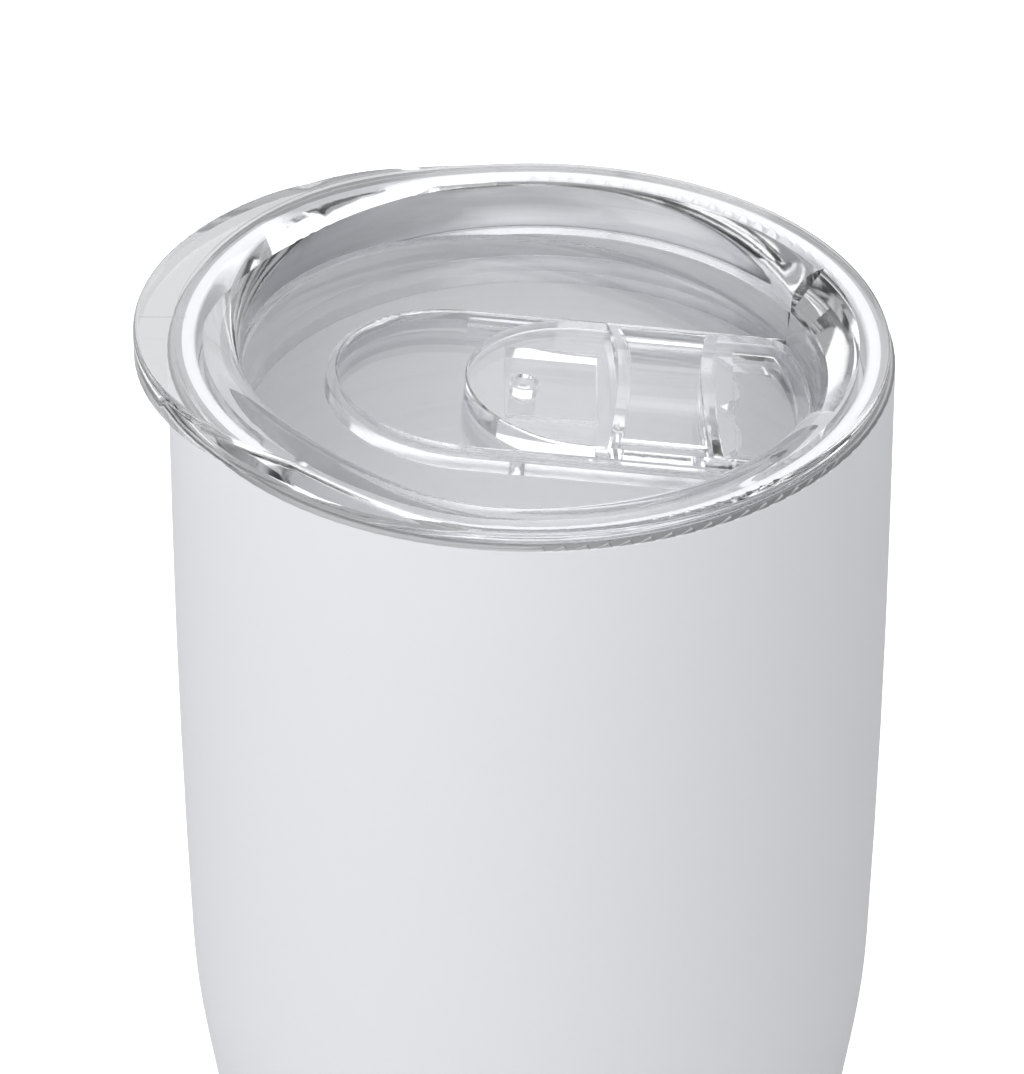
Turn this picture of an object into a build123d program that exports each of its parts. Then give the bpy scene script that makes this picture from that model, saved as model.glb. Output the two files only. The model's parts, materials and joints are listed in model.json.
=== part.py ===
"""Insulated tumbler with a clear press-in lid and a sliding drink closure.

Frame: the origin is the centre of the foot on the table, +Z is up and +X points to the drink side.
All sizes are in millimetres.  Heights named "..._drop" are measured down from the lip of the cup.
"""

from build123d import *
import os
from math import atan, cos, degrees, radians, sin, sqrt, tan

os.makedirs("parts", exist_ok=True)

# ---------------------------------------------------------------- cup, overall
body_height = 140.0        # foot to lip
body_radius = 41.5         # straight band under the lip
straight_depth = 20.0      # height of that straight band
taper_depth = 79.0         # lip to the waist
taper_inset = 1.05         # how much the wall has drawn in at the waist
waist_bend = 100.0         # radius of the bend from the upper wall into the base cone
cone_angle = 9.0           # lean of the base cone, degrees
base_corner = 4.0          # outside radius where the cone turns under
lip_corner = 0.6           # rounding of the lip, inside and outside
match = 0.01               # how close a measured edge must be to count as the one asked for

# ---------------------------------------------------------------- cup, walls
steel = 0.6                # sheet thickness of both shells
vacuum_gap = 2.2           # space between the shells
foil_sheet = 0.15
foil_gap = 0.05            # foil to inner shell
seat_ring = 5.0            # width of the turned-in foot of the outer wall
weld_height = 19.0         # where the inner wall meets its bottom
inner_floor_height = 12.0  # underside of the cup's floor
inner_corner = 8.0         # outside radius of the cup's floor corner
floor_dish = 1.2           # how far the middle of the floor is raised

# ---------------------------------------------------------------- base parts
pad_thickness = 1.2        # rubber below the outer wall
pad_margin = 2.0           # ring of steel left bare around the pad
pad_spigot = 0.5           # pad register inside the foot ring
cover_sheet = 0.6
cover_clearance = 0.3      # cover disc to the wall around it
vacuum_bottom_height = 5.0
seal_dimple_radius = 5.0
seal_dimple_depth = 1.4
seal_hole_radius = 1.2
bead_clearance = 0.02
getter_radius = 4.0
getter_height = 1.6
getter_offset = 13.0       # getter centre from the axis
clip_sheet = 0.3
clip_leg = 2.0             # length of each clip foot

# ---------------------------------------------------------------- lid
seat_gap = 0.05            # flange to lip
flange_inset = 0.5         # flange edge to the cup's outside
crest_height = 1.8         # top of the flange above the lip, at the drink side
tab_height = 4.6           # top of the lift tab above the lip
tab_narrowing = 5.5        # plan radius of the lift tab, less than the flange's
tab_overhang = 3.8         # tab tip beyond the cup's outside
tab_underside = 1.2        # finger gap under the tab
swoop_start = 4.0          # the flange starts to rise towards the tab here, behind the axis
tab_level = 14.3           # level length of the tab's top, from its tip
step_height = 0.9          # shadow line around the flange
step_inset = 0.45
skirt_clearance = 0.7      # skirt to the cup's mouth
skirt_drop = 11.2
bowl_wall = 4.2            # skirt to bowl
bowl_round = 4.0           # bell mouth between flange top and bowl wall
rim_round = 0.7            # outer edge of the flange
deck_drop = 4.1            # deck below the lip, on the axis
deck_tilt = 6.0            # deck falls towards the drink side, degrees
deck_sheet = 1.6
floor_sheet = 1.2          # floor of the track
tab_blend = 6.0            # plan radius where the tab leaves the round flange
scoop_half_angle = 25.0    # pouring scoop in the bowl wall
scoop_margin = 3.6         # flange edge to the top of the scoop
scoop_drop = 0.8           # the scoop starts this far down the straight bowl wall

# gasket
groove_drop = 4.4          # top of the groove below the lip
groove_height = 4.0
groove_depth = 2.2
gasket_clearance = 0.1     # ring to groove walls, fins to the cup
fin_height = 0.9
fin_root = 0.9             # thickness of the ring behind the fins

# track in the deck
track_half_width = 14.6
track_margin = 10.9        # closed end of the track to the bowl wall
track_depth = 2.4
track_edge = 0.35
rail_depth = 0.9           # undercut that holds the slider down
rail_height = 1.1
rail_drop = 1.0            # roof of the undercut below the deck
vent_radius = 0.9
hole_margin = 2.4          # drink hole to the bowl wall
hole_length = 8.95
hole_side = 3.6            # side of the drink hole to the side of the track
hole_corner = 2.4
lobe_radius = 7.0          # two rounded lobes shape the hole's inner edge
lobe_offset = 5.4

# ---------------------------------------------------------------- slider
slide_travel = 14.0
slider_clearance = 0.8     # slider to track wall, each side
slider_floor_gap = 0.3     # slider to track floor
slider_end_gap = 0.9       # slider to the bowl wall at the drink side
slider_stop_gap = 0.7      # tail to the closed end of the track when fully open
slider_rise = 0.7          # plate above the deck
plate_sheet = 1.4
slider_corner = 3.0
pocket_side = 6.4          # slider edge to the hollow under the tail
pocket_margin = 4.6        # tail to that hollow
pocket_wall = 1.0          # that hollow to the grip
window_side = 2.2          # slider edge to the hollow over the drink hole
window_wall = 1.6
peg_radius = 1.6
peg_margin = 6.8           # tail to the peg, with the vent hole under it
grip_margin = 10.5         # grip to the slider's drink end
grip_length = 13.2
grip_waist = 1.1           # how far each end of the grip is drawn in at the middle
grip_height = 2.4
grip_wall = 1.5
grip_dish = 1.1
lug_clearance = 0.3        # lug to the bottom of its undercut
lug_width = 1.4
lug_height = 0.5
lug_inset = 1.0            # lug middle to the end of the grip
plate_edge = 0.3

# ================================================================ shared shapes
lip = body_height
inner_inset = steel + vacuum_gap               # outer surface to the outside of the inner shell
mouth_radius = body_radius - inner_inset - steel
seam_radius = (body_radius + mouth_radius) / 2
taper_angle = 2 * degrees(atan(taper_inset / (taper_depth - straight_depth)))
foot_height = pad_thickness                    # underside of the outer wall


def wall_points(inset, end_height):
    """Corner points of the cup's side, moved inwards from its outer surface, down to one height."""
    lean, cone = radians(taper_angle), radians(cone_angle)
    waist = (body_radius - taper_inset, lip - taper_depth)
    bend_out = waist_bend * (cos(lean) - cos(cone))
    bend_down = waist_bend * (sin(cone) - sin(lean))
    low = (waist[0] - bend_out, waist[1] - bend_down)
    start = (body_radius - inset, lip - straight_depth)
    waist_in = (waist[0] - inset * cos(lean), waist[1] + inset * sin(lean))
    low_in = (low[0] - inset * cos(cone), low[1] + inset * sin(cone))
    end = (low_in[0] - (low_in[1] - end_height) * tan(cone), end_height)
    return start, waist_in, low_in, end


def wall_curve(inset, top_height, end_height):
    """Draw the cup's side into the open BuildLine, from the top down."""
    start, waist_in, low_in, end = wall_points(inset, end_height)
    Line((start[0], top_height), start)
    TangentArc(start, waist_in, tangent=(0, -1))
    lean = radians(taper_angle)
    TangentArc(waist_in, low_in, tangent=(-sin(lean), -cos(lean)))
    Line(low_in, end)
    return end


def cone_radius(inset, height):
    """Radius of the base cone at one height."""
    return wall_points(inset, height)[3][0]


# ================================================================ outer wall
foot_radius = cone_radius(0, foot_height)
foot_inner_radius = foot_radius - base_corner - seat_ring

with BuildPart() as outer_wall:
    with BuildSketch(Plane.XZ):
        with BuildLine():
            outer_end = wall_curve(0, lip, foot_height)
            Line(outer_end, (foot_inner_radius, foot_height))
            Line((foot_inner_radius, foot_height), (foot_inner_radius, foot_height + steel))
            inner_end = wall_points(steel, foot_height + steel)[3]
            Line((foot_inner_radius, foot_height + steel), inner_end)
            wall_curve(steel, lip - steel, foot_height + steel)
            Line((body_radius - steel, lip - steel), (seam_radius, lip - steel))
            Line((seam_radius, lip - steel), (seam_radius, lip))
            Line((seam_radius, lip), (body_radius, lip))
        make_face()
    revolve(axis=Axis.Z)
    foot_edges = outer_wall.edges().filter_by(GeomType.CIRCLE)
    outside_foot = foot_edges.filter_by(lambda e: abs(e.radius - foot_radius) < match)
    inside_foot = foot_edges.filter_by(lambda e: abs(e.radius - inner_end[0]) < match)
    fillet(outside_foot, base_corner)
    fillet(inside_foot.group_by(Axis.Z)[0], base_corner - steel)
    lip_edges = outer_wall.edges().filter_by(GeomType.CIRCLE).group_by(Axis.Z)[-1]
    fillet(lip_edges.sort_by(SortBy.RADIUS)[-1], lip_corner)
outer_wall.part.label = "outer_wall"
export_step(outer_wall.part, "parts/outer_wall.step")

# ================================================================ inner wall and its bottom
with BuildPart() as inner_wall:
    with BuildSketch(Plane.XZ):
        with BuildLine():
            tube_end = wall_curve(inner_inset, lip - steel, weld_height)
            tube_inner = wall_points(inner_inset + steel, weld_height)[3]
            Line(tube_end, tube_inner)
            wall_curve(inner_inset + steel, lip, weld_height)
            Line((mouth_radius, lip), (seam_radius, lip))
            Line((seam_radius, lip), (seam_radius, lip - steel))
            Line((seam_radius, lip - steel), (body_radius - inner_inset, lip - steel))
        make_face()
    revolve(axis=Axis.Z)
    mouth_edges = inner_wall.edges().filter_by(GeomType.CIRCLE).group_by(Axis.Z)[-1]
    fillet(mouth_edges.sort_by(SortBy.RADIUS)[0], lip_corner)
inner_wall.part.label = "inner_wall"
export_step(inner_wall.part, "parts/inner_wall.step")

with BuildPart() as inner_bottom:
    with BuildSketch(Plane.XZ):
        with BuildLine():
            rim_out = wall_points(inner_inset, weld_height)[3]
            rim_in = wall_points(inner_inset + steel, weld_height)[3]
            corner_out = wall_points(inner_inset, inner_floor_height)[3]
            corner_in = wall_points(inner_inset + steel, inner_floor_height + steel)[3]
            dish_start = corner_out[0] - inner_corner
            Line(rim_in, rim_out)
            Line(rim_out, corner_out)
            Line(corner_out, (dish_start, inner_floor_height))
            dish_top = inner_floor_height + floor_dish
            TangentArc((0, dish_top), (dish_start, inner_floor_height), tangent=(1, 0))
            Line((0, dish_top), (0, dish_top + steel))
            TangentArc((0, dish_top + steel), (dish_start, inner_floor_height + steel), tangent=(1, 0))
            Line((dish_start, inner_floor_height + steel), corner_in)
            Line(corner_in, rim_in)
        make_face()
        fillet(vertices().sort_by_distance((*corner_out, 0))[0], inner_corner - steel)
        fillet(vertices().sort_by_distance((*corner_in, 0))[0], inner_corner - 2 * steel)
    revolve(axis=Axis.Z)
inner_bottom.part.label = "inner_bottom"
export_step(inner_bottom.part, "parts/inner_bottom.step")

# ================================================================ insulation foil
foil_inset = inner_inset - foil_gap
foil_top = lip - straight_depth
foil_bottom = weld_height + 2 * steel

with BuildPart() as reflective_foil:
    with BuildSketch(Plane.XZ):
        with BuildLine():
            foil_out_end = wall_curve(foil_inset - foil_sheet, foil_top + steel, foil_bottom)
            foil_in_end = wall_points(foil_inset, foil_bottom)[3]
            Line(foil_out_end, foil_in_end)
            wall_curve(foil_inset, foil_top + steel, foil_bottom)
            foil_top_out = (body_radius - foil_inset + foil_sheet, foil_top + steel)
            Line((body_radius - foil_inset, foil_top + steel), foil_top_out)
        make_face()
    revolve(axis=Axis.Z)
reflective_foil.part.label = "reflective_foil"
export_step(reflective_foil.part, "parts/reflective_foil.step")

# ================================================================ vacuum bottom, its seal and the getter
rim_radius = cone_radius(steel, vacuum_bottom_height)

with BuildPart() as vacuum_bottom:
    with BuildSketch(Plane.XZ):
        with BuildLine():
            Polyline(
                (seal_hole_radius, vacuum_bottom_height - seal_dimple_depth),
                (seal_dimple_radius - seal_dimple_depth, vacuum_bottom_height - seal_dimple_depth),
                (seal_dimple_radius, vacuum_bottom_height),
                (rim_radius, vacuum_bottom_height),
                (cone_radius(steel, vacuum_bottom_height + steel), vacuum_bottom_height + steel),
                (seal_dimple_radius, vacuum_bottom_height + steel),
                (seal_dimple_radius - seal_dimple_depth, vacuum_bottom_height - seal_dimple_depth + steel),
                (seal_hole_radius, vacuum_bottom_height - seal_dimple_depth + steel),
                close=True,
            )
        make_face()
    revolve(axis=Axis.Z)
vacuum_bottom.part.label = "vacuum_bottom"
export_step(vacuum_bottom.part, "parts/vacuum_bottom.step")

dimple_floor = vacuum_bottom_height - seal_dimple_depth
with BuildPart() as seal_bead:
    with BuildSketch(Plane.XZ):
        with BuildLine():
            bead_radius = seal_hole_radius - bead_clearance
            bead_head = 2 * seal_hole_radius
            Line((0, dimple_floor - steel), (bead_radius, dimple_floor - steel / 2))
            Line((bead_radius, dimple_floor - steel / 2), (bead_radius, dimple_floor + steel))
            Line((bead_radius, dimple_floor + steel), (bead_head, dimple_floor + steel))
            bead_top = (0, dimple_floor + steel + seal_hole_radius)
            Spline((bead_head, dimple_floor + steel), bead_top, tangents=[(0, 1), (-1, 0)])
            Line(bead_top, (0, dimple_floor - steel))
        make_face()
    revolve(axis=Axis.Z)
seal_bead.part.label = "seal_bead"
export_step(seal_bead.part, "parts/seal_bead.step")

clip_floor = vacuum_bottom_height + steel
clip_radius = getter_radius + clip_sheet
getter_floor = clip_floor + clip_sheet

with BuildPart() as getter_clip:
    with BuildSketch(Plane.XY.offset(clip_floor)):
        with Locations((getter_offset, 0)):
            Circle(clip_radius)
            Rectangle(2 * (clip_radius + clip_leg), 2 * clip_leg)
    extrude(amount=clip_sheet)
    with BuildSketch(Plane.XY.offset(getter_floor)):
        with Locations((getter_offset, 0)):
            Circle(clip_radius)
            Circle(getter_radius, mode=Mode.SUBTRACT)
    extrude(amount=getter_height)
getter_clip.part.label = "getter_clip"
export_step(getter_clip.part, "parts/getter_clip.step")

with BuildPart() as getter:
    with BuildSketch(Plane.XY.offset(getter_floor)):
        with Locations((getter_offset, 0)):
            Circle(getter_radius)
    extrude(amount=getter_height)
    chamfer(getter.edges().group_by(Axis.Z)[-1], clip_sheet)
getter.part.label = "getter"
export_step(getter.part, "parts/getter.step")

# ================================================================ bottom cover and base pad
cover_floor = foot_height + steel
cover_radius = cone_radius(steel, cover_floor) - base_corner - cover_clearance

with BuildPart() as bottom_cover:
    with BuildSketch(Plane.XY.offset(cover_floor)):
        Circle(cover_radius)
    extrude(amount=cover_sheet)
    fillet(bottom_cover.edges().group_by(Axis.Z)[-1], cover_sheet / 3)
bottom_cover.part.label = "bottom_cover"
export_step(bottom_cover.part, "parts/bottom_cover.step")

pad_radius = foot_radius - base_corner - pad_margin
with BuildPart() as base_pad:
    with BuildSketch(Plane.XY):
        Circle(pad_radius)
    extrude(amount=pad_thickness)
    with BuildSketch(Plane.XY.offset(pad_thickness)):
        Circle(foot_inner_radius - pad_spigot)
    extrude(amount=steel)
    fillet(base_pad.edges().group_by(Axis.Z)[0], pad_thickness / 3)
base_pad.part.label = "base_pad"
export_step(base_pad.part, "parts/base_pad.step")

# ================================================================ lid
flange_radius = body_radius - flange_inset
tab_reach = body_radius + tab_overhang
tab_radius = flange_radius - tab_narrowing
swoop_end = tab_reach - tab_level
skirt_radius = mouth_radius - skirt_clearance
bowl_radius = skirt_radius - bowl_wall
scoop_reach = flange_radius - scoop_margin
seat = lip + seat_gap
deck_origin = (0, 0, lip - deck_drop)
lean_x = (cos(radians(deck_tilt)), 0, -sin(radians(deck_tilt)))
lean_z = (sin(radians(deck_tilt)), 0, cos(radians(deck_tilt)))
deck = Plane(origin=deck_origin, x_dir=lean_x, z_dir=lean_z)
deck_under = deck.offset(-deck_sheet)
track_floor = deck.offset(-track_depth)
track_under = deck.offset(-track_depth - floor_sheet)
tab_centre = tab_reach - tab_radius
blank_top = lip + tab_height + bowl_round

# space above the crest of the flange
with BuildPart() as above_crest:
    with BuildSketch(Plane.XZ):
        with BuildLine():
            crest_end = (flange_radius + bowl_round, lip + crest_height)
            crest_mid = (-swoop_start, lip + crest_height)
            tab_rise = (-swoop_end, lip + tab_height)
            tab_end = (-tab_reach - bowl_round, lip + tab_height)
            Line(crest_end, crest_mid)
            Spline(crest_mid, tab_rise, tangents=[(-1, 0), (-1, 0)])
            Line(tab_rise, tab_end)
            Line(tab_end, (tab_end[0], blank_top + bowl_round))
            Line((tab_end[0], blank_top + bowl_round), (crest_end[0], blank_top + bowl_round))
            Line((crest_end[0], blank_top + bowl_round), crest_end)
        make_face()
    extrude(amount=2 * flange_radius, both=True)

# space inside the bowl, above the deck
with BuildPart() as bowl_space:
    with BuildSketch(Plane.XY.offset(lip - 2 * skirt_drop)):
        Circle(bowl_radius)
    extrude(amount=4 * skirt_drop)
    split(bisect_by=deck, keep=Keep.TOP)

# space inside the skirt, under the deck
with BuildPart() as skirt_space:
    with BuildSketch(Plane.XY.offset(lip - 2 * skirt_drop)):
        Circle(bowl_radius)
    extrude(amount=4 * skirt_drop)
    split(bisect_by=deck_under, keep=Keep.BOTTOM)

track_start = bowl_radius - track_margin
track_centre = track_half_width - track_start
hole_reach = bowl_radius - hole_margin
hole_start = hole_reach - hole_length
hole_half_width = track_half_width - hole_side

slider_half_width = track_half_width - slider_clearance
slider_reach = bowl_radius - slider_end_gap
slider_tail = track_start - slide_travel - slider_stop_gap
peg_place = peg_margin - slider_tail
grip_end = slider_reach - grip_margin
grip_start = grip_end - grip_length
lug_places = (grip_start + lug_inset, grip_end - lug_inset)


def track_outline(growth):
    """Plan of the track in the deck, grown on all sides: round at the tab end, ended by the bowl wall."""
    with Locations((track_centre, 0)):
        Circle(track_half_width + growth)
    with Locations((track_centre + bowl_radius, 0)):
        Rectangle(2 * bowl_radius, 2 * (track_half_width + growth))
    Circle(bowl_radius + growth, mode=Mode.INTERSECT)


with BuildPart() as track_space:
    with BuildSketch(track_floor):
        track_outline(0)
    extrude(amount=track_depth + bowl_round)
    rail_run = track_half_width + rail_depth
    rail_low = lug_places[0] - slide_travel - 2 * lug_width
    rail_high = lug_places[1] + 2 * lug_width
    with BuildSketch(deck.offset(-rail_drop - rail_height)):
        with Locations(((rail_low + rail_high) / 2, 0)):
            Rectangle(rail_high - rail_low, 2 * rail_run)
    extrude(amount=rail_height)

with BuildPart() as track_tray:
    with BuildSketch(track_under):
        track_outline(floor_sheet)
    extrude(amount=track_depth)

with BuildPart() as drink_hole:
    with BuildSketch(track_under.offset(-floor_sheet)):
        with Locations(((hole_start + hole_reach) / 2, 0)):
            Rectangle(hole_reach - hole_start, 2 * hole_half_width)
        Circle(hole_reach, mode=Mode.INTERSECT)
        lobe_centre = hole_start - sqrt(lobe_radius**2 - lobe_offset**2)
        with Locations((lobe_centre, lobe_offset), (lobe_centre, -lobe_offset)):
            Circle(lobe_radius, mode=Mode.SUBTRACT)
        hole_corners = vertices().filter_by(lambda v: v.X > hole_start + hole_corner)
        fillet(hole_corners.filter_by(lambda v: abs(v.Y) > hole_half_width / 2), hole_corner)
        with Locations((peg_place, 0)):
            Circle(vent_radius)
    extrude(amount=3 * floor_sheet)

scoop_side = radians(scoop_half_angle)
scoop_x = (cos(scoop_side), -sin(scoop_side), 0)
scoop_z = (-sin(scoop_side), -cos(scoop_side), 0)
scoop_plane = Plane(origin=(0, 0, 0), x_dir=scoop_x, z_dir=scoop_z)
scoop_foot = lip + crest_height - bowl_round - scoop_drop
with BuildPart() as scoop_space:
    with BuildSketch(scoop_plane):
        with BuildLine():
            Polyline(
                (bowl_radius - bowl_round, scoop_foot),
                (bowl_radius, scoop_foot),
                (scoop_reach, lip + crest_height),
                (scoop_reach, blank_top),
                (bowl_radius - bowl_round, blank_top),
                close=True,
            )
        make_face()
    revolve(axis=Axis.Z, revolution_arc=2 * scoop_half_angle)


def around(edge, radius):
    """True for an edge, not straight, whose middle stands at one radius from the axis."""
    middle = edge @ 0.5
    return edge.geom_type != GeomType.LINE and abs(sqrt(middle.X**2 + middle.Y**2) - radius) < match


def on_track_rim(edge):
    """True for an edge of the deck that runs around the track: its two sides and its round end."""
    middle = edge @ 0.5
    beside = abs(abs(middle.Y) - track_half_width) < match
    behind = middle.X < track_centre - track_half_width / 2
    return (beside or behind) and not around(edge, bowl_radius)


with BuildPart() as lid:
    with BuildSketch(Plane.XY.offset(seat)):
        Circle(flange_radius)
    extrude(amount=blank_top - seat)
    with BuildSketch(Plane.XY.offset(lip + tab_underside)):
        with Locations((-tab_centre, 0)):
            Circle(tab_radius)
    extrude(amount=blank_top - lip - tab_underside)
    tab_roots = lid.edges().filter_by(Axis.Z).filter_by(lambda e: abs(e.center().Y) > tab_blend)
    fillet(tab_roots, tab_blend)
    add(above_crest.part, mode=Mode.SUBTRACT)
    outer_crest = lid.edges().filter_by(lambda e: (e @ 0.5).Z > lip + crest_height - seat_gap)
    fillet(outer_crest.filter_by(lambda e: e.geom_type != GeomType.LINE), rim_round)
    with BuildSketch(Plane.XY.offset(seat)):
        Circle(flange_radius + step_inset)
        Circle(flange_radius - step_inset, mode=Mode.SUBTRACT)
    extrude(amount=step_height, mode=Mode.SUBTRACT)
    with BuildSketch(Plane.XY.offset(lip - skirt_drop)):
        Circle(skirt_radius)
    extrude(amount=skirt_drop + seat_gap)
    add(bowl_space.part, mode=Mode.SUBTRACT)
    crest_edges = lid.edges().filter_by(lambda e: (e @ 0.5).Z > lip + step_height)
    fillet(crest_edges.filter_by(lambda e: around(e, bowl_radius)), bowl_round)
    add(skirt_space.part, mode=Mode.SUBTRACT)
    add(track_tray.part)
    add(track_space.part, mode=Mode.SUBTRACT)
    add(drink_hole.part, mode=Mode.SUBTRACT)
    add(scoop_space.part, mode=Mode.SUBTRACT)
    with BuildSketch(Plane.XY.offset(lip - groove_drop - groove_height)):
        Circle(skirt_radius + groove_depth)
        Circle(skirt_radius - groove_depth, mode=Mode.SUBTRACT)
    extrude(amount=groove_height, mode=Mode.SUBTRACT)
    in_deck = lid.edges().filter_by(lambda e: abs(deck.to_local_coords(e @ 0.5).Z) < match)
    fillet(in_deck.filter_by(on_track_rim), track_edge)
lid.part.label = "lid"
export_step(lid.part, "parts/lid.step")

# ================================================================ lid gasket
gasket_inner = skirt_radius - groove_depth + gasket_clearance
gasket_top = lip - groove_drop - gasket_clearance
gasket_bottom = gasket_top - groove_height + 2 * gasket_clearance
fin_tip = mouth_radius - gasket_clearance
fin_base = gasket_inner + fin_root

with BuildPart() as lid_gasket:
    with BuildSketch(Plane.XZ):
        with BuildLine():
            Polyline(
                (gasket_inner, gasket_bottom),
                (fin_base, gasket_bottom),
                (fin_tip, gasket_bottom + fin_height / 2),
                (fin_tip, gasket_bottom + fin_height),
                (fin_base, gasket_bottom + 1.5 * fin_height),
                (fin_base, gasket_top - fin_height),
                (fin_tip, gasket_top - fin_height / 2),
                (fin_tip, gasket_top),
                (gasket_inner, gasket_top),
                close=True,
            )
        make_face()
    revolve(axis=Axis.Z)
lid_gasket.part.label = "lid_gasket"
export_step(lid_gasket.part, "parts/lid_gasket.step")

# ================================================================ slider
tail_centre = slider_half_width - slider_tail
slider_under = deck.offset(slider_floor_gap - track_depth)
slider_height = track_depth - slider_floor_gap + slider_rise
plate_under = deck.offset(slider_rise - plate_sheet)
hollow_depth = slider_height - plate_sheet
arch_radius = (slider_half_width**2 + grip_height**2) / (2 * grip_height)
arch_axis = deck.offset(slider_rise + grip_height - arch_radius).origin
arch_plane = Plane(origin=arch_axis, x_dir=(0, 1, 0), z_dir=lean_x)
pocket_start = pocket_margin - slider_tail
pocket_end = grip_start - pocket_wall


def grip_curve(inset):
    """Draw the hourglass plan of the finger grip into the open BuildLine, drawn in by a wall."""
    low, high = grip_start + inset, grip_end - inset
    side = slider_half_width - inset
    ThreePointArc((low, side), (low + grip_waist, 0), (low, -side))
    Line((low, -side), (high, -side))
    ThreePointArc((high, -side), (high - grip_waist, 0), (high, side))
    Line((high, side), (low, side))


with BuildPart() as grip:
    with BuildSketch(arch_plane.offset(grip_start)):
        Circle(arch_radius)
    extrude(amount=grip_length)
    with BuildSketch(plate_under):
        with BuildLine():
            grip_curve(0)
        make_face()
    extrude(amount=plate_sheet + grip_height, mode=Mode.INTERSECT)

with BuildPart() as grip_arch:
    with BuildSketch(arch_plane.offset(grip_start)):
        Circle(arch_radius - grip_dish)
    extrude(amount=grip_length)

with BuildPart() as dish_space:
    with BuildSketch(plate_under):
        with BuildLine():
            grip_curve(grip_wall)
        make_face()
    extrude(amount=plate_sheet + grip_height + grip_dish)
    add(grip_arch.part, mode=Mode.SUBTRACT)

with BuildPart() as grip_hollow:
    with BuildSketch(arch_plane.offset(grip_start)):
        Circle(arch_radius - grip_dish - plate_sheet)
    extrude(amount=grip_length)
    with BuildSketch(slider_under):
        with BuildLine():
            grip_curve(grip_wall)
        make_face()
    extrude(amount=slider_height + grip_height, mode=Mode.INTERSECT)

with BuildPart() as slider:
    with BuildSketch(slider_under):
        with Locations((tail_centre, 0)):
            Circle(slider_half_width)
        with Locations((tail_centre + slider_reach, 0)):
            Rectangle(2 * slider_reach, 2 * slider_half_width)
        Circle(slider_reach, mode=Mode.INTERSECT)
        fillet(vertices().group_by(Axis.X)[-1], slider_corner)
    extrude(amount=slider_height)
    fillet(slider.faces().sort_by(Axis.Z)[-1].edges(), plate_edge)
    add(grip.part)
    add(dish_space.part, mode=Mode.SUBTRACT)
    add(grip_hollow.part, mode=Mode.SUBTRACT)
    with BuildSketch(slider_under):
        with Locations(((pocket_start + pocket_end) / 2, 0)):
            Rectangle(pocket_end - pocket_start, 2 * (slider_half_width - pocket_side))
        with Locations((peg_place, 0)):
            Circle(peg_radius, mode=Mode.SUBTRACT)
        window_start, window_end = grip_end + window_wall, slider_reach - window_wall
        with Locations(((window_start + window_end) / 2, 0)):
            Rectangle(window_end - window_start, 2 * (slider_half_width - window_side))
        Circle(window_end, mode=Mode.INTERSECT)
    extrude(amount=hollow_depth, mode=Mode.SUBTRACT)
    lug_reach = track_half_width + rail_depth - lug_clearance
    lug_floor = deck.offset(-rail_drop - rail_height / 2 - lug_height / 2)
    for place in lug_places:
        for side in (-1, 1):
            lug_middle = side * (lug_reach + slider_half_width - lug_width) / 2
            with BuildSketch(lug_floor):
                with Locations((place, lug_middle)):
                    Rectangle(lug_width, lug_reach - slider_half_width + lug_width)
            extrude(amount=lug_height)
slider.part.label = "slider"
export_step(slider.part, "parts/slider.step")
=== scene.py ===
# %% [markdown]
# # An insulated tumbler with a clear lid
#
# The cup is a double-walled steel tumbler with a white powder coat. Its lid is one clear moulding that
# presses into the mouth, and a clear slider in the lid opens and shuts the drink hole. Everything that
# follows is placed by what the CAD says, in metres.

# %% Load the frame
import json
import math

import bpy
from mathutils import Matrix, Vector

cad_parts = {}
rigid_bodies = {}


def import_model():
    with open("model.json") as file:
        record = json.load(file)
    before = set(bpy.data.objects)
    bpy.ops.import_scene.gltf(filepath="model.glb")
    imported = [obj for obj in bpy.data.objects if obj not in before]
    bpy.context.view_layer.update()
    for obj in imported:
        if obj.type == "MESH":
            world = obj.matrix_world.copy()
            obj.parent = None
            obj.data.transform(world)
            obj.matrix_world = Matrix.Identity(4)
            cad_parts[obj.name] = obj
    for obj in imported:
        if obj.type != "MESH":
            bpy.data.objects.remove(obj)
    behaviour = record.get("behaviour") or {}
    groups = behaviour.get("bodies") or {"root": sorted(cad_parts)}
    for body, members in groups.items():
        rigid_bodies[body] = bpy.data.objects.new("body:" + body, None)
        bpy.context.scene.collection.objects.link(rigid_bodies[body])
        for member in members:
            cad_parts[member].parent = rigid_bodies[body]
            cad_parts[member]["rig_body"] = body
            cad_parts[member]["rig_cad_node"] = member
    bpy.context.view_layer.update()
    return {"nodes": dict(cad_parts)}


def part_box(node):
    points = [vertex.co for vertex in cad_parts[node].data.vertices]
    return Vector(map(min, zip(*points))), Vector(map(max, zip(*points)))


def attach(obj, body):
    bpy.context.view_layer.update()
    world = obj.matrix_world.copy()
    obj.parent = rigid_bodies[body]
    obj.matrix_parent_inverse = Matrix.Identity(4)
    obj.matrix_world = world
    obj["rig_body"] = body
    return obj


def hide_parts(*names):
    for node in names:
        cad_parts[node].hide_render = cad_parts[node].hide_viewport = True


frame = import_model()

# %% [markdown]
# ## Sizes to work from
#
# The rim of the cup is where the lid sits, so most pieces are measured from it. The boxes of the CAD
# nodes give its height and the radii that are needed later.

# %% Read the sizes
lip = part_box("inner_wall")[1].z
cup_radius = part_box("outer_wall")[1].x
lid_low, lid_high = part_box("lid")
print("lip at", round(lip, 4), "cup radius", round(cup_radius, 4))

# %% [markdown]
# ## Camera
#
# A product picture is taken from well back with a long lens, so that the round rim keeps an even ellipse.
# The camera stands 0.8 m from the rim and looks down at a little over thirty degrees.

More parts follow.
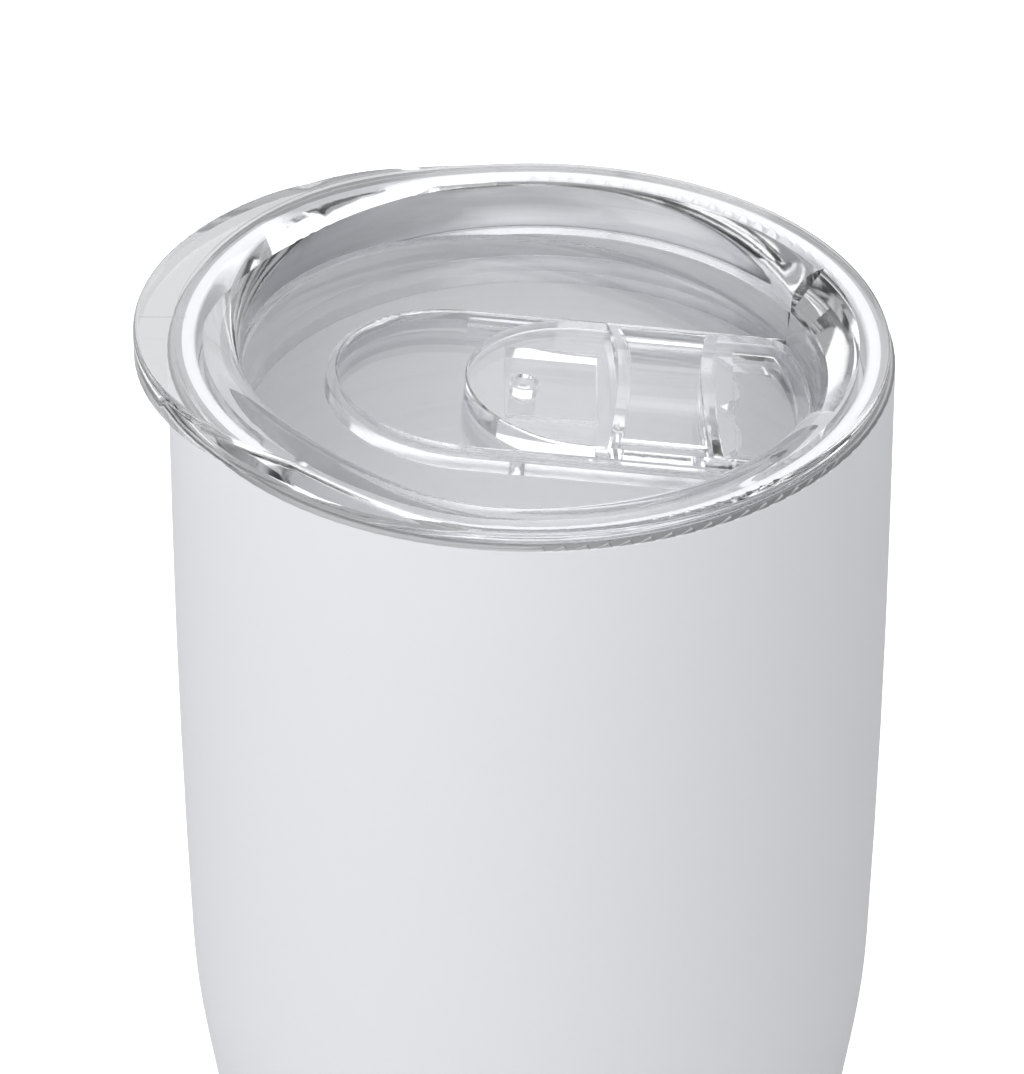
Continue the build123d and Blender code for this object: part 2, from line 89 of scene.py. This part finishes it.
# %% Place the camera
camera_data = bpy.data.cameras.new("camera")
camera_data.lens = 235.06
camera_data.clip_start = 0.01
camera = bpy.data.objects.new("camera", camera_data)
bpy.context.scene.collection.objects.link(camera)
camera.location = (0.0, -0.6852, lip + 0.4129)
looking = Vector((-0.002709, 0.842905, -0.538736))
camera.rotation_euler = looking.to_track_quat("-Z", "Y").to_euler()
bpy.context.scene.camera = camera
print("camera looks down", round(math.degrees(math.asin(-looking.normalized().z)), 2), "degrees")

# %% [markdown]
# ## Floor, world and lamps
#
# Clear plastic has hardly any colour of its own. It shows what stands around it, so the lamps are the
# drawing tool: a broad soft box overhead draws the pale highlights, and the greyer parts of the room draw
# the dark edge lines. One lamp is not part of a real studio: the fill stands low inside the cup and faces
# up, and neither the camera nor rays that pass through the plastic see it. It lifts the steel under the
# deck, which comes out much darker without it. The floor is nearly white to the camera and greyer to all
# other rays, so that the clear plastic does not wash out. The Standard view keeps the pale floor white.

# %% Floor
def only_select(obj):
    """Select one object and make it active."""
    bpy.ops.object.select_all(action="DESELECT")
    obj.select_set(True)
    bpy.context.view_layer.objects.active = obj


bpy.ops.object.select_all(action="DESELECT")
bpy.ops.mesh.primitive_plane_add(size=6.0, location=(0.0, 0.0, 0.0))
floor = bpy.context.object
floor.name = "studio_floor"
floor_paint = bpy.data.materials.new("studio_floor_paint")
floor_paint.use_nodes = True
floor_shader = floor_paint.node_tree.nodes["Principled BSDF"]
floor_rays = floor_paint.node_tree.nodes.new("ShaderNodeLightPath")
floor_tones = floor_paint.node_tree.nodes.new("ShaderNodeMix")
floor_tones.data_type = "RGBA"
floor_tones.inputs["A"].default_value = (0.62, 0.62, 0.62, 1.0)
floor_tones.inputs["B"].default_value = (0.95, 0.95, 0.95, 1.0)
floor_paint.node_tree.links.new(floor_rays.outputs["Is Camera Ray"], floor_tones.inputs["Factor"])
floor_paint.node_tree.links.new(floor_tones.outputs["Result"], floor_shader.inputs["Base Color"])
floor_glow = floor_paint.node_tree.nodes.new("ShaderNodeMath")
floor_glow.operation = "MULTIPLY"
floor_glow.inputs[1].default_value = 0.55
floor_paint.node_tree.links.new(floor_rays.outputs["Is Camera Ray"], floor_glow.inputs[0])
floor_paint.node_tree.links.new(floor_glow.outputs["Value"], floor_shader.inputs["Emission Strength"])
floor_shader.inputs["Emission Color"].default_value = (1.0, 1.0, 1.0, 1.0)
floor_shader.inputs["Roughness"].default_value = 0.9
floor_shader.inputs["Specular IOR Level"].default_value = 0.1
floor.data.materials.append(floor_paint)
bpy.context.scene.view_settings.view_transform = "Standard"

# %% World
world = bpy.data.worlds.new("studio_air")
world.use_nodes = True
world_light = world.node_tree.nodes["Background"]
world_light.inputs["Color"].default_value = (0.97, 0.98, 1.0, 1.0)
world_light.inputs["Strength"].default_value = 0.42
bpy.context.scene.world = world


# %% Lamps
def soft_box(name, place, aim, width, height, power):
    """One rectangular soft box, turned to face a point."""
    lamp_data = bpy.data.lights.new(name, "AREA")
    lamp_data.shape = "RECTANGLE"
    lamp_data.size = width
    lamp_data.size_y = height
    lamp_data.energy = power
    lamp = bpy.data.objects.new(name, lamp_data)
    bpy.context.scene.collection.objects.link(lamp)
    lamp.location = place
    lamp.rotation_euler = (Vector(aim) - Vector(place)).to_track_quat("-Z", "Y").to_euler()
    return lamp


soft_box("overhead_box", (-0.1, 0.2, 1.5), (0.0, 0.0, lip), 2.2, 1.8, 14.5)
soft_box("left_box", (-0.95, -0.55, 0.55), (0.0, 0.0, 0.08), 1.0, 1.1, 4.0)
soft_box("front_box", (0.05, -1.3, 0.5), (0.0, 0.0, 0.08), 1.4, 1.0, 6.3)
soft_box("back_box", (0.2, 1.0, 0.78), (0.0, 0.0, lip), 1.5, 0.62, 2.9)
inner_fill = soft_box("inner_fill", (0.0, 0.0, 0.03), (0.0, 0.0, lip), 0.05, 0.05, 0.013)
inner_fill.visible_camera = False
inner_fill.visible_transmission = False
print("lamps:", len(bpy.data.lights))

# %% [markdown]
# A ray that enters the lid is turned many times inside it before it comes out. If the renderer gives up
# too soon the flange goes black, so the number of turns that a ray may take is raised.

# %% Ray turns
light_paths = bpy.context.scene.cycles
light_paths.max_bounces = 32
light_paths.transmission_bounces = 32
light_paths.glossy_bounces = 16
light_paths.transparent_max_bounces = 32

# %% [markdown]
# ## Shared finishes
#
# Two effects turn up in several materials: a fine grain that breaks up a smooth face, and long brushed
# lines that run around a turned or rolled sheet. Each one is a node group that is built once, with its
# own named inputs. A group gives out only a height or a mask, and each material decides what to do with
# it.

# %% Group tools
def new_group(name, inputs, outputs):
    """Start a shader node group with float inputs and outputs."""
    group = bpy.data.node_groups.new(name, "ShaderNodeTree")
    for label, value in inputs:
        socket = group.interface.new_socket(label, in_out="INPUT", socket_type="NodeSocketFloat")
        socket.default_value = value
    for label in outputs:
        group.interface.new_socket(label, in_out="OUTPUT", socket_type="NodeSocketFloat")
    return group, group.nodes.new("NodeGroupInput"), group.nodes.new("NodeGroupOutput")


def math_node(tree, operation, first, second=None):
    """Add a math node.  Each operand is a socket or a number."""
    node = tree.nodes.new("ShaderNodeMath")
    node.operation = operation
    for place, operand in enumerate((first, second)):
        if isinstance(operand, (int, float)):
            node.inputs[place].default_value = operand
        elif operand is not None:
            tree.links.new(operand, node.inputs[place])
    return node.outputs[0]


# %% Fine grain group
grain, grain_in, grain_out = new_group(
    "fine_grain", [("Scale", 900.0), ("Contrast", 1.0)], ["Height", "Cloud"]
)
grain_place = grain.nodes.new("ShaderNodeTexCoord")
grain_noise = grain.nodes.new("ShaderNodeTexNoise")
grain_noise.inputs["Detail"].default_value = 4.0
grain_noise.inputs["Roughness"].default_value = 0.6
grain.links.new(grain_place.outputs["Object"], grain_noise.inputs["Vector"])
grain.links.new(grain_in.outputs["Scale"], grain_noise.inputs["Scale"])
cloud_noise = grain.nodes.new("ShaderNodeTexNoise")
cloud_noise.inputs["Detail"].default_value = 2.0
grain.links.new(grain_place.outputs["Object"], cloud_noise.inputs["Vector"])
grain.links.new(math_node(grain, "MULTIPLY", grain_in.outputs["Scale"], 0.04), cloud_noise.inputs["Scale"])
grain_height = math_node(grain, "MULTIPLY", grain_noise.outputs["Fac"], grain_in.outputs["Contrast"])
grain.links.new(grain_height, grain_out.inputs["Height"])
grain.links.new(cloud_noise.outputs["Fac"], grain_out.inputs["Cloud"])

# %% Turned lines group
turned, turned_in, turned_out = new_group(
    "turned_lines", [("Scale", 1400.0), ("Spread", 1.0)], ["Height", "Streak"]
)
turned_place = turned.nodes.new("ShaderNodeTexCoord")
turned_split = turned.nodes.new("ShaderNodeSeparateXYZ")
turned.links.new(turned_place.outputs["Object"], turned_split.inputs["Vector"])
across = math_node(turned, "MULTIPLY", turned_split.outputs["X"], turned_split.outputs["X"])
along = math_node(turned, "MULTIPLY", turned_split.outputs["Y"], turned_split.outputs["Y"])
radius = math_node(turned, "SQRT", math_node(turned, "ADD", across, along))
turned_join = turned.nodes.new("ShaderNodeCombineXYZ")
turned.links.new(radius, turned_join.inputs["X"])
turned.links.new(turned_split.outputs["Z"], turned_join.inputs["Y"])
turned_noise = turned.nodes.new("ShaderNodeTexNoise")
turned_noise.inputs["Detail"].default_value = 3.0
turned.links.new(turned_join.outputs["Vector"], turned_noise.inputs["Vector"])
turned.links.new(turned_in.outputs["Scale"], turned_noise.inputs["Scale"])
turned_height = math_node(turned, "MULTIPLY", turned_noise.outputs["Fac"], turned_in.outputs["Spread"])
turned.links.new(turned_height, turned_out.inputs["Height"])
turned.links.new(turned_noise.outputs["Fac"], turned_out.inputs["Streak"])
print("groups:", [group.name for group in bpy.data.node_groups])


# %% Material tools
def new_material(name):
    """Start a material and hand back its tree and its Principled shader."""
    material = bpy.data.materials.new(name)
    material.use_nodes = True
    return material, material.node_tree, material.node_tree.nodes["Principled BSDF"]


def use_group(tree, group, **values):
    """Place a shared group in a material with its own values."""
    node = tree.nodes.new("ShaderNodeGroup")
    node.node_tree = group
    for label, value in values.items():
        node.inputs[label].default_value = value
    return node


def bump(tree, height, strength, distance, target):
    """Turn a height into a normal on one shader."""
    node = tree.nodes.new("ShaderNodeBump")
    node.inputs["Strength"].default_value = strength
    node.inputs["Distance"].default_value = distance
    tree.links.new(height, node.inputs["Height"])
    tree.links.new(node.outputs["Normal"], target.inputs["Normal"])
    return node


def between(tree, value, low, high):
    """Map a 0 to 1 value onto a range."""
    node = tree.nodes.new("ShaderNodeMapRange")
    node.inputs["To Min"].default_value = low
    node.inputs["To Max"].default_value = high
    tree.links.new(value, node.inputs["Value"])
    return node.outputs["Result"]


def blend_colours(tree, mask, first, second):
    """Mix two colours by a mask."""
    node = tree.nodes.new("ShaderNodeMix")
    node.data_type = "RGBA"
    tree.links.new(mask, node.inputs["Factor"])
    node.inputs["A"].default_value = (*first, 1.0)
    node.inputs["B"].default_value = (*second, 1.0)
    return node.outputs["Result"]


def paint(obj, material):
    """Give an object one material in place of what it has."""
    obj.data.materials.clear()
    obj.data.materials.append(material)


# %% [markdown]
# ## Powder coat with a bare lip
#
# The coat is a fine satin plastic baked onto the steel. It stops just short of the top edge, because the
# lip is masked before spraying, so a thin ring of bare metal shows there. One material does both: a mask
# on the height chooses between coat and metal.

# %% White coat
coat, coat_tree, coat_shader = new_material("white_powder_coat")
coat_grain = use_group(coat_tree, grain, Scale=2600.0, Contrast=1.0)
coat_place = coat_tree.nodes.new("ShaderNodeTexCoord")
coat_split = coat_tree.nodes.new("ShaderNodeSeparateXYZ")
coat_tree.links.new(coat_place.outputs["Object"], coat_split.inputs["Vector"])
bare_band, band_fade = 0.00045, 0.00004
coat_stop = lip - bare_band
above_coat = coat_tree.nodes.new("ShaderNodeMapRange")
above_coat.inputs["From Min"].default_value = coat_stop - band_fade
above_coat.inputs["From Max"].default_value = coat_stop + band_fade
coat_tree.links.new(coat_split.outputs["Z"], above_coat.inputs["Value"])
bare = above_coat.outputs["Result"]
coat_white, bare_steel = (0.78, 0.785, 0.81), (0.42, 0.42, 0.43)
coat_tree.links.new(blend_colours(coat_tree, bare, coat_white, bare_steel), coat_shader.inputs["Base Color"])
coat_tree.links.new(bare, coat_shader.inputs["Metallic"])
coat_rough = between(coat_tree, coat_grain.outputs["Cloud"], 0.40, 0.48)
coat_tree.links.new(coat_rough, coat_shader.inputs["Roughness"])
bump(coat_tree, coat_grain.outputs["Height"], 0.10, 0.00005, coat_shader)
paint(frame["nodes"]["outer_wall"], coat)

# %% [markdown]
# ## Metals
#
# The liner is drawn from sheet and polished inside, so it keeps faint lines that run around it. The
# pressed pieces under the floor are duller, and the foil is crinkled by hand as it is wrapped on; its
# creases are painted darker, as painted shade.

# %% Steel
def steel(name, colour, rough_low, rough_high, depth):
    """A steel with turned lines, lighter and darker streaks and a changing gloss."""
    material, tree, shader = new_material(name)
    lines = use_group(tree, turned, Scale=1800.0, Spread=1.0)
    specks = use_group(tree, grain, Scale=700.0, Contrast=1.0)
    darker = tuple(channel * 0.86 for channel in colour)
    tint = blend_colours(tree, lines.outputs["Streak"], darker, colour)
    tree.links.new(tint, shader.inputs["Base Color"])
    shader.inputs["Metallic"].default_value = 1.0
    gloss = between(tree, specks.outputs["Cloud"], rough_low, rough_high)
    tree.links.new(gloss, shader.inputs["Roughness"])
    bump(tree, lines.outputs["Height"], 0.25, depth, shader)
    return material


liner_steel = steel("liner_steel", (0.86, 0.86, 0.875), 0.42, 0.52, 0.00004)
pressed_steel = steel("pressed_steel", (0.55, 0.55, 0.57), 0.34, 0.46, 0.00003)
paint(frame["nodes"]["inner_wall"], liner_steel)
paint(frame["nodes"]["inner_bottom"], liner_steel)
for pressed in ("vacuum_bottom", "getter_clip", "bottom_cover"):
    paint(frame["nodes"][pressed], pressed_steel)

# %% Foil
foil, foil_tree, foil_shader = new_material("wrapped_foil")
foil_creases = foil_tree.nodes.new("ShaderNodeTexVoronoi")
foil_creases.feature = "DISTANCE_TO_EDGE"
foil_creases.inputs["Scale"].default_value = 160.0
foil_place = foil_tree.nodes.new("ShaderNodeTexCoord")
foil_tree.links.new(foil_place.outputs["Object"], foil_creases.inputs["Vector"])
# The copper is painted darker along the creases: painted shade in the creases, on top of the crease bump.
copper_crease_shade, copper_light = (0.62, 0.36, 0.24), (0.80, 0.52, 0.38)
foil_tint_with_crease_shade = blend_colours(foil_tree, foil_creases.outputs["Distance"], copper_crease_shade, copper_light)
foil_tree.links.new(foil_tint_with_crease_shade, foil_shader.inputs["Base Color"])
foil_shader.inputs["Metallic"].default_value = 1.0
foil_shader.inputs["Roughness"].default_value = 0.22
bump(foil_tree, foil_creases.outputs["Distance"], 0.8, 0.0006, foil_shader)
paint(frame["nodes"]["reflective_foil"], foil)


# %% Getter, bead and rubber
def plain_finish(name, colour, rough_low, rough_high, scale, depth, specular=0.5):
    """A non-metal with grain: its colour and gloss change a little over the surface."""
    material, tree, shader = new_material(name)
    specks = use_group(tree, grain, Scale=scale, Contrast=1.0)
    darker = tuple(channel * 0.88 for channel in colour)
    tint = blend_colours(tree, specks.outputs["Cloud"], darker, colour)
    tree.links.new(tint, shader.inputs["Base Color"])
    gloss = between(tree, specks.outputs["Cloud"], rough_low, rough_high)
    tree.links.new(gloss, shader.inputs["Roughness"])
    shader.inputs["Specular IOR Level"].default_value = specular
    bump(tree, specks.outputs["Height"], 0.4, depth, shader)
    return material


getter_metal = plain_finish("sintered_metal", (0.20, 0.19, 0.20), 0.55, 0.8, 2400.0, 0.00008)
bead_glass = plain_finish("solder_glass", (0.07, 0.06, 0.06), 0.06, 0.14, 500.0, 0.00001)
pad_rubber = plain_finish("pad_rubber", (0.60, 0.60, 0.62), 0.6, 0.75, 1800.0, 0.00004, 0.3)
paint(frame["nodes"]["getter"], getter_metal)
paint(frame["nodes"]["seal_bead"], bead_glass)
paint(frame["nodes"]["base_pad"], pad_rubber)


# %% [markdown]
# ## Clear plastic
#
# The lid and the slider are moulded in clear plastic. It bends light about as glass does. Real plastic
# lets lamp light through to the cup below it, so the shader is swapped for a clear one when the ray goes
# to a lamp. A very slight waviness and a changing gloss keep the faces from looking computed.

# %% Clear plastic
def clear_plastic(name, colour, rough_low, rough_high, wave_depth):
    """Clear moulded plastic with a light swirl in its surface."""
    material, tree, shader = new_material(name)
    waves = use_group(tree, grain, Scale=170.0, Contrast=1.0)
    shader.inputs["Base Color"].default_value = (*colour, 1.0)
    shader.inputs["Transmission Weight"].default_value = 1.0
    shader.inputs["IOR"].default_value = 1.46
    tree.links.new(between(tree, waves.outputs["Cloud"], rough_low, rough_high), shader.inputs["Roughness"])
    bump(tree, waves.outputs["Height"], 0.12, wave_depth, shader)
    passing = tree.nodes.new("ShaderNodeBsdfTransparent")
    passing.inputs["Color"].default_value = (0.93, 0.93, 0.94, 1.0)
    rays = tree.nodes.new("ShaderNodeLightPath")
    swap = tree.nodes.new("ShaderNodeMixShader")
    tree.links.new(rays.outputs["Is Shadow Ray"], swap.inputs["Fac"])
    tree.links.new(shader.outputs["BSDF"], swap.inputs[1])
    tree.links.new(passing.outputs["BSDF"], swap.inputs[2])
    output = [node for node in tree.nodes if node.type == "OUTPUT_MATERIAL"][0]
    tree.links.new(swap.outputs["Shader"], output.inputs["Surface"])
    return material


lid_plastic = clear_plastic("clear_lid_plastic", (0.935, 0.938, 0.945), 0.03, 0.055, 0.00006)
slider_plastic = clear_plastic("clear_slider_plastic", (0.95, 0.953, 0.96), 0.02, 0.045, 0.00006)
gasket_silicone = plain_finish("gasket_silicone", (0.72, 0.73, 0.74), 0.35, 0.5, 1500.0, 0.00002, 0.4)
paint(frame["nodes"]["lid"], lid_plastic)
paint(frame["nodes"]["slider"], slider_plastic)
paint(frame["nodes"]["lid_gasket"], gasket_silicone)


# %% [markdown]
# ## Smooth skins
#
# The CAD meshes come as separate triangles, which show as flat facets. A copy is merged into one skin,
# and its normals are smoothed where faces meet at a shallow angle, so that curves look round and corners
# stay crisp.

# %% Directions of the flat faces
deck_tilt = math.radians(6.0)
level = [(0, 0, 1), (0, 0, -1)]
sloped = [
    (math.sin(deck_tilt), 0, math.cos(deck_tilt)),
    (-math.sin(deck_tilt), 0, -math.cos(deck_tilt)),
    (math.cos(deck_tilt), 0, -math.sin(deck_tilt)),
    (-math.cos(deck_tilt), 0, math.sin(deck_tilt)),
    (0, 1, 0),
    (0, -1, 0),
]
flat_area = 0.00002


# %% [markdown]
# A rounding runs out smoothly into the flat face beside it, so along their shared edge the true normal is
# the flat face's own. Averaging gets that wrong where the triangles are long and thin, and clear plastic
# shows it at once as streaks. So the flat faces are found first, and corners that touch one take its
# direction.

# %% Normals
def find_flats(mesh, directions):
    """Give the direction of each face that lies in one of the object's large flat planes."""
    aims = [Vector(direction) for direction in directions]
    closeness = math.cos(math.radians(0.1))
    planes, members = {}, {}
    for face in mesh.polygons:
        for place, aim in enumerate(aims):
            if face.normal.dot(aim) > closeness:
                plane = (place, round(face.center.dot(aim) * 1e5))
                planes[plane] = planes.get(plane, 0.0) + face.area
                members[face.index] = plane
    return {face: aims[plane[0]] for face, plane in members.items() if planes[plane] > flat_area}


def true_normals(skin, directions, angle):
    """Set corner normals: flat faces rule where they touch, elsewhere near faces share by angle."""
    mesh = skin.data
    flats = find_flats(mesh, directions)
    closeness = math.cos(math.radians(angle))
    around = [[] for _ in mesh.vertices]
    for face in mesh.polygons:
        corners = [mesh.vertices[index].co for index in face.vertices]
        for place, index in enumerate(face.vertices):
            before = corners[place - 1] - corners[place]
            after = corners[(place + 1) % len(corners)] - corners[place]
            around[index].append((face.index, face.normal.copy(), before.angle(after, 0.0)))
    normals = []
    for face in mesh.polygons:
        for index in face.vertices:
            near = [item for item in around[index] if item[1].dot(face.normal) > closeness]
            ruling = [flats[item[0]] for item in near if item[0] in flats]
            if ruling:
                normals.append(max(ruling, key=face.normal.dot))
            else:
                normals.append(sum((item[1] * item[2] for item in near), Vector()).normalized())
    mesh.normals_split_custom_set(normals)


# %% Smooth copies
def smooth_skin(node_name, piece_name, body, directions, angle=32.0):
    """Make a merged and smoothed copy of a CAD node that stands for it."""
    only_select(frame["nodes"][node_name])
    bpy.ops.object.duplicate()
    skin = bpy.context.object
    skin.name = piece_name
    skin.parent = None
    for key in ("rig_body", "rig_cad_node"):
        if key in skin:
            del skin[key]
    skin.data = skin.data.copy()
    only_select(skin)
    bpy.ops.object.mode_set(mode="EDIT")
    bpy.ops.mesh.select_all(action="SELECT")
    bpy.ops.mesh.remove_doubles(threshold=0.000004)
    bpy.ops.object.mode_set(mode="OBJECT")
    bpy.ops.object.shade_smooth()
    true_normals(skin, directions, angle)
    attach(skin, body)
    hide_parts(node_name)
    print(piece_name, "has", len(skin.data.polygons), "faces")
    return skin


skins = {}
for node_name, piece_name, body, slot, directions in (
    ("outer_wall", "coated_shell", "tumbler", "white_coat", level),
    ("inner_wall", "steel_liner", "tumbler", "liner_steel", level),
    ("inner_bottom", "cup_floor", "tumbler", "liner_steel", level),
    ("lid", "press_in_lid", "lid_body", "clear_lid", level + sloped),
    ("lid_gasket", "two_fin_gasket", "lid_body", "gasket_silicone", level),
    ("slider", "drink_slider", "slider_body", "clear_slider", level + sloped),
    ("reflective_foil", "foil_wrap", "tumbler", "foil", level),
    ("seal_bead", "solder_bead", "tumbler", "solder_glass", level),
):
    skins[piece_name] = smooth_skin(node_name, piece_name, body, directions)

# %% [markdown]
# ## A ribbed pad under the base
#
# The foot of a tumbler carries a moulded rubber pad, and rings are moulded into its underside so that it
# grips a wet table and does not seal against it. The rings could be cut with a solid tool, but insets are
# simpler: each one walks the bottom face inwards, and those with a depth step it into a groove and out
# again.

# %% Ribbed pad
pad_low, pad_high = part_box("base_pad")
step_height, step_inset = 0.0012, 0.0035
ring_count, ring_land, ring_groove, ring_wall, ring_depth = 4, 0.0028, 0.0015, 0.0003, 0.0005
bpy.ops.object.select_all(action="DESELECT")
bpy.ops.mesh.primitive_cylinder_add(
    vertices=128, radius=pad_high.x, depth=step_height, location=(0.0, 0.0, pad_low.z + step_height / 2)
)
ribbed_pad = bpy.context.object
ribbed_pad.name = "ribbed_foot_pad"


def select_end(obj, upward):
    """Select the end face that looks up or down."""
    bpy.ops.object.mode_set(mode="OBJECT")
    end = max(obj.data.polygons, key=lambda face: face.normal.z * upward * face.area)
    for face in obj.data.polygons:
        face.select = face.index == end.index
    bpy.ops.object.mode_set(mode="EDIT")


bpy.ops.object.mode_set(mode="EDIT")
bpy.ops.mesh.select_mode(type="FACE")
bpy.ops.mesh.select_all(action="DESELECT")
select_end(ribbed_pad, 1)
bpy.ops.mesh.inset(thickness=step_inset)
bpy.ops.mesh.extrude_region_move(
    TRANSFORM_OT_translate={"value": (0.0, 0.0, pad_high.z - pad_low.z - step_height)}
)
bpy.ops.mesh.select_all(action="DESELECT")
select_end(ribbed_pad, -1)
for _ in range(ring_count):
    bpy.ops.mesh.inset(thickness=ring_land)
    bpy.ops.mesh.inset(thickness=ring_wall, depth=-ring_depth)
    bpy.ops.mesh.inset(thickness=ring_groove)
    bpy.ops.mesh.inset(thickness=ring_wall, depth=ring_depth)
bpy.ops.object.mode_set(mode="OBJECT")
only_select(ribbed_pad)
softened = ribbed_pad.modifiers.new("softened", "BEVEL")
softened.width = 0.00012
softened.segments = 2
softened.angle_limit = math.radians(40)
bpy.ops.object.modifier_apply(modifier="softened")
bpy.ops.object.shade_smooth_by_angle(angle=math.radians(40))
bpy.ops.object.transform_apply(location=True, rotation=True, scale=True)
paint(ribbed_pad, pad_rubber)
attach(ribbed_pad, "tumbler")
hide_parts("base_pad")
pad_bottom = min(vertex.co.z for vertex in ribbed_pad.data.vertices)
print("ribbed pad:", len(ribbed_pad.data.polygons), "faces, lowest point", pad_bottom)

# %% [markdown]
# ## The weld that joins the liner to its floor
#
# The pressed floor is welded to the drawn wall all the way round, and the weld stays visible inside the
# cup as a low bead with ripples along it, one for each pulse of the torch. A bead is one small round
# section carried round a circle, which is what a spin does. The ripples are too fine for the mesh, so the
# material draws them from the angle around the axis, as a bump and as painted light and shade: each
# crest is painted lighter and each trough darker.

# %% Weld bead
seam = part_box("inner_wall")[0].z
steel_sheet, bead_radius, ripple_count = 0.0006, 0.0003, 240.0
seam_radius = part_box("inner_bottom")[1].x - steel_sheet
bpy.ops.object.select_all(action="DESELECT")
bpy.ops.mesh.primitive_circle_add(
    vertices=10, radius=bead_radius, location=(seam_radius, 0.0, seam), rotation=(math.radians(90), 0.0, 0.0)
)
weld = bpy.context.object
weld.name = "floor_weld_bead"
bpy.ops.object.transform_apply(location=True, rotation=True, scale=True)
bpy.ops.object.mode_set(mode="EDIT")
bpy.ops.mesh.select_all(action="SELECT")
bpy.ops.mesh.spin(steps=160, angle=math.radians(360), center=(0.0, 0.0, seam), axis=(0.0, 0.0, 1.0))
bpy.ops.mesh.select_all(action="SELECT")
bpy.ops.mesh.remove_doubles(threshold=0.000005)
bpy.ops.mesh.normals_make_consistent(inside=False)
bpy.ops.object.mode_set(mode="OBJECT")
bpy.ops.object.shade_smooth()

weld_steel, weld_tree, weld_shader = new_material("weld_steel")
weld_place = weld_tree.nodes.new("ShaderNodeTexCoord")
weld_split = weld_tree.nodes.new("ShaderNodeSeparateXYZ")
weld_tree.links.new(weld_place.outputs["Object"], weld_split.inputs["Vector"])
weld_angle = math_node(weld_tree, "ARCTAN2", weld_split.outputs["Y"], weld_split.outputs["X"])
weld_ripple = math_node(weld_tree, "SINE", math_node(weld_tree, "MULTIPLY", weld_angle, ripple_count))
# The colour follows the ripple height: painted highlight on each crest and painted shade in each trough.
ripple_light_and_shade_mask = between(weld_tree, weld_ripple, 0.5, 1.0)
weld_painted_ripple_shading = blend_colours(weld_tree, ripple_light_and_shade_mask, (0.50, 0.48, 0.46), (0.74, 0.73, 0.73))
weld_tree.links.new(weld_painted_ripple_shading, weld_shader.inputs["Base Color"])
weld_shader.inputs["Metallic"].default_value = 1.0
weld_specks = use_group(weld_tree, grain, Scale=1500.0, Contrast=1.0)
weld_gloss = between(weld_tree, weld_specks.outputs["Cloud"], 0.28, 0.5)
weld_tree.links.new(weld_gloss, weld_shader.inputs["Roughness"])
bump(weld_tree, weld_ripple, 0.5, 0.00006, weld_shader)
paint(weld, weld_steel)
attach(weld, "tumbler")
print("weld bead:", len(weld.data.polygons), "faces at radius", round(seam_radius, 5))

# %% [markdown]
# ## The parting line on the thumb tab
#
# The two halves of the mould meet across the tab, and they leave a hair-thin ridge on its top face. The
# ridge follows the face, so the height of the lid is measured at a row of places first, and a small round
# section is then drawn out from one place to the next.

# %% Parting line
clear_lid = skins["press_in_lid"]
to_local = clear_lid.matrix_world.inverted()
sunk = Vector((0.0, 0.0, -0.00005))
ridge_radius, edge_margin, line_length, line_count = 0.00006, 0.0006, 0.0055, 12
line_places = []
for place in range(line_count + 1):
    across_tab = lid_low.x + edge_margin + place * line_length / line_count
    above = to_local @ Vector((across_tab, 0.0, lid_high.z + 0.02))
    hit, spot, _, _ = clear_lid.ray_cast(above, Vector((0.0, 0.0, -1.0)))
    if hit:
        line_places.append(clear_lid.matrix_world @ spot + sunk)
bpy.ops.object.select_all(action="DESELECT")
bpy.ops.mesh.primitive_circle_add(
    vertices=8,
    radius=ridge_radius,
    fill_type="NGON",
    location=line_places[0],
    rotation=(0.0, math.radians(90), 0.0),
)
parting = bpy.context.object
parting.name = "tab_parting_line"
bpy.ops.object.transform_apply(location=True, rotation=True, scale=True)
bpy.ops.object.mode_set(mode="EDIT")
bpy.ops.mesh.select_all(action="SELECT")
for before, after in zip(line_places, line_places[1:]):
    bpy.ops.mesh.extrude_region_move(TRANSFORM_OT_translate={"value": tuple(after - before)})
bpy.ops.mesh.select_all(action="SELECT")
bpy.ops.mesh.normals_make_consistent(inside=False)
bpy.ops.object.mode_set(mode="OBJECT")
bpy.ops.object.shade_smooth_by_angle(angle=math.radians(50))
paint(parting, lid_plastic)
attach(parting, "lid_body")
print("parting line over", len(line_places), "places")
